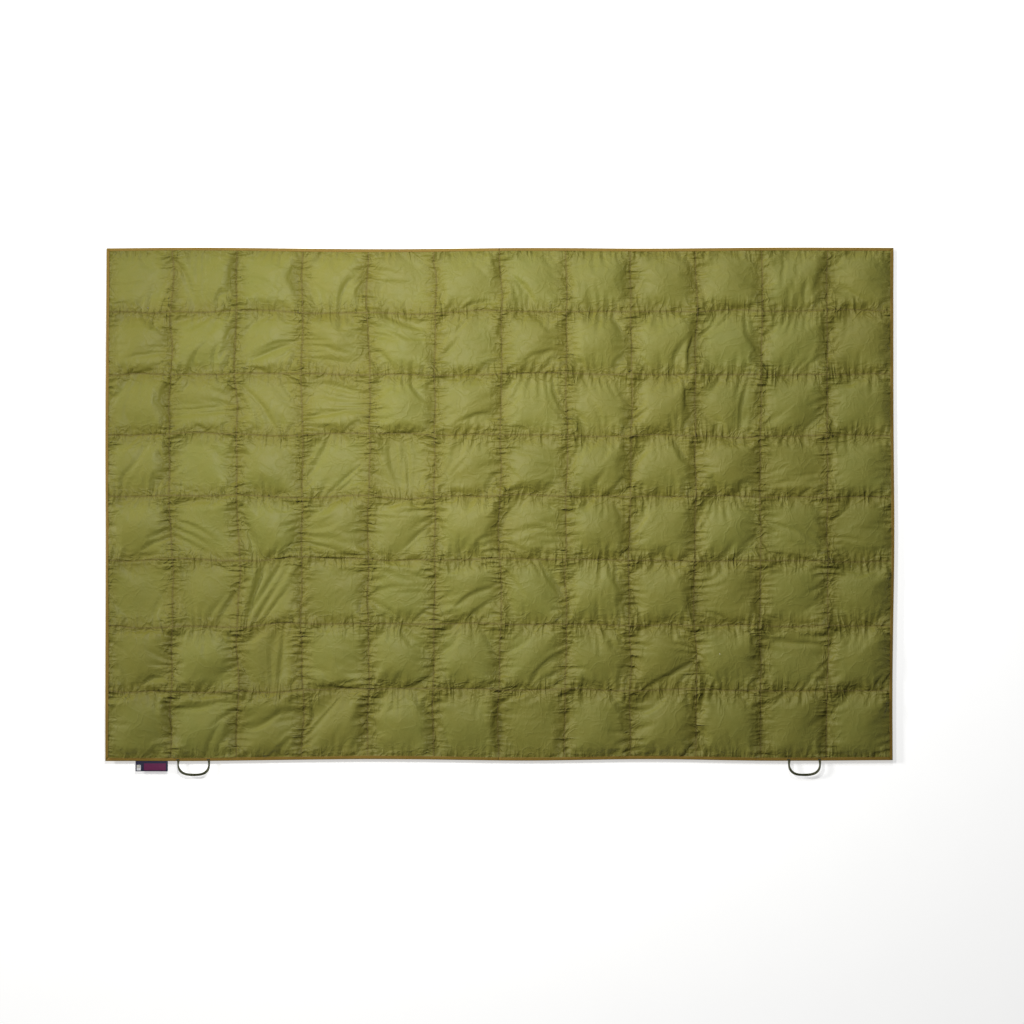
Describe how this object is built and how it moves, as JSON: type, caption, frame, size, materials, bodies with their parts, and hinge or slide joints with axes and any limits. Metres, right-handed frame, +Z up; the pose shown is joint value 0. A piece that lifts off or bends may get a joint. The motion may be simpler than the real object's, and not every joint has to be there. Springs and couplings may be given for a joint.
{
  "type": "camp quilt",
  "caption": "Rectangular box-quilted camp quilt with filled square cells, bound edges, two corner tie loops and a woven edge label, folding in thirds.",
  "frame": {"origin": "on the ground, under the middle of the outline with its hanging loops", "axes": "+X along the long side, +Y across the quilt away from the loops and label, +Z up out of the top face"},
  "size_m": [1.95, 1.3066, 0.03],
  "materials": {
    "top_shell_fabric": "olive green light ripstop nylon taffeta, soft sheen",
    "back_shell_fabric": "olive green light nylon taffeta, soft sheen",
    "edge_binding": "golden brown woven edge tape",
    "quilting_thread": "tan polyester sewing thread",
    "binding_thread": "brown polyester sewing thread",
    "fill": "white down clusters",
    "loop_tape": "dark olive grosgrain tape",
    "woven_label": "dark blue woven label, matt",
    "label_thread": "off-white embroidery thread"
  },
  "bodies": {
    "left_third": {"top_shell_left": "top_shell_fabric", "back_shell_left": "back_shell_fabric", "horizontal_stitches_left": "quilting_thread", "binding_stitches_left": "binding_thread", "binding_top_left": "edge_binding", "binding_bottom_left": "edge_binding", "binding_left_side": "edge_binding", "down_fill_column_01": "fill", "down_fill_column_02": "fill", "down_fill_column_03": "fill", "down_fill_column_04": "fill", "vertical_stitches_01": "quilting_thread", "vertical_stitches_02": "quilting_thread", "vertical_stitches_03": "quilting_thread", "left_loop_bar_tacks": "binding_thread"},
    "middle_third": {"top_shell_middle": "top_shell_fabric", "back_shell_middle": "back_shell_fabric", "horizontal_stitches_middle": "quilting_thread", "binding_stitches_middle": "binding_thread", "binding_top_middle": "edge_binding", "binding_bottom_middle": "edge_binding", "down_fill_column_05": "fill", "down_fill_column_06": "fill", "down_fill_column_07": "fill", "down_fill_column_08": "fill", "vertical_stitches_04": "quilting_thread", "vertical_stitches_05": "quilting_thread", "vertical_stitches_06": "quilting_thread", "vertical_stitches_07": "quilting_thread", "vertical_stitches_08": "quilting_thread"},
    "right_third": {"top_shell_right": "top_shell_fabric", "back_shell_right": "back_shell_fabric", "horizontal_stitches_right": "quilting_thread", "binding_stitches_right": "binding_thread", "binding_top_right": "edge_binding", "binding_bottom_right": "edge_binding", "binding_right_side": "edge_binding", "down_fill_column_09": "fill", "down_fill_column_10": "fill", "down_fill_column_11": "fill", "down_fill_column_12": "fill", "vertical_stitches_09": "quilting_thread", "vertical_stitches_10": "quilting_thread", "vertical_stitches_11": "quilting_thread", "right_loop_bar_tacks": "binding_thread"},
    "left_loop": {"left_loop": "loop_tape"},
    "right_loop": {"right_loop": "loop_tape"},
    "label": {"label": "woven_label", "label_bar_tack": "label_thread"}
  },
  "joints": [
    {"name": "fold_left", "type": "hinge", "parent": "middle_third", "child": "left_third", "pos_m": [-0.32675, 0.0183, 0.047], "axis": [0, 1, 0], "range_deg": [0, 180]},
    {"name": "fold_right", "type": "hinge", "parent": "middle_third", "child": "right_third", "pos_m": [0.32675, 0.0183, 0.0305], "axis": [0, -1, 0], "range_deg": [0, 180]},
    {"name": "left_loop_swing", "type": "hinge", "parent": "left_third", "child": "left_loop", "pos_m": [-0.757, -0.6181, 0.011], "axis": [-1, 0, 0], "range_deg": [-15, 90]},
    {"name": "right_loop_swing", "type": "hinge", "parent": "right_third", "child": "right_loop", "pos_m": [0.757, -0.6181, 0.011], "axis": [-1, 0, 0], "range_deg": [-15, 90]},
    {"name": "label_flap", "type": "hinge", "parent": "left_third", "child": "label", "pos_m": [-0.861, -0.6181, 0.011], "axis": [-1, 0, 0], "range_deg": [-15, 90]}
  ]
}
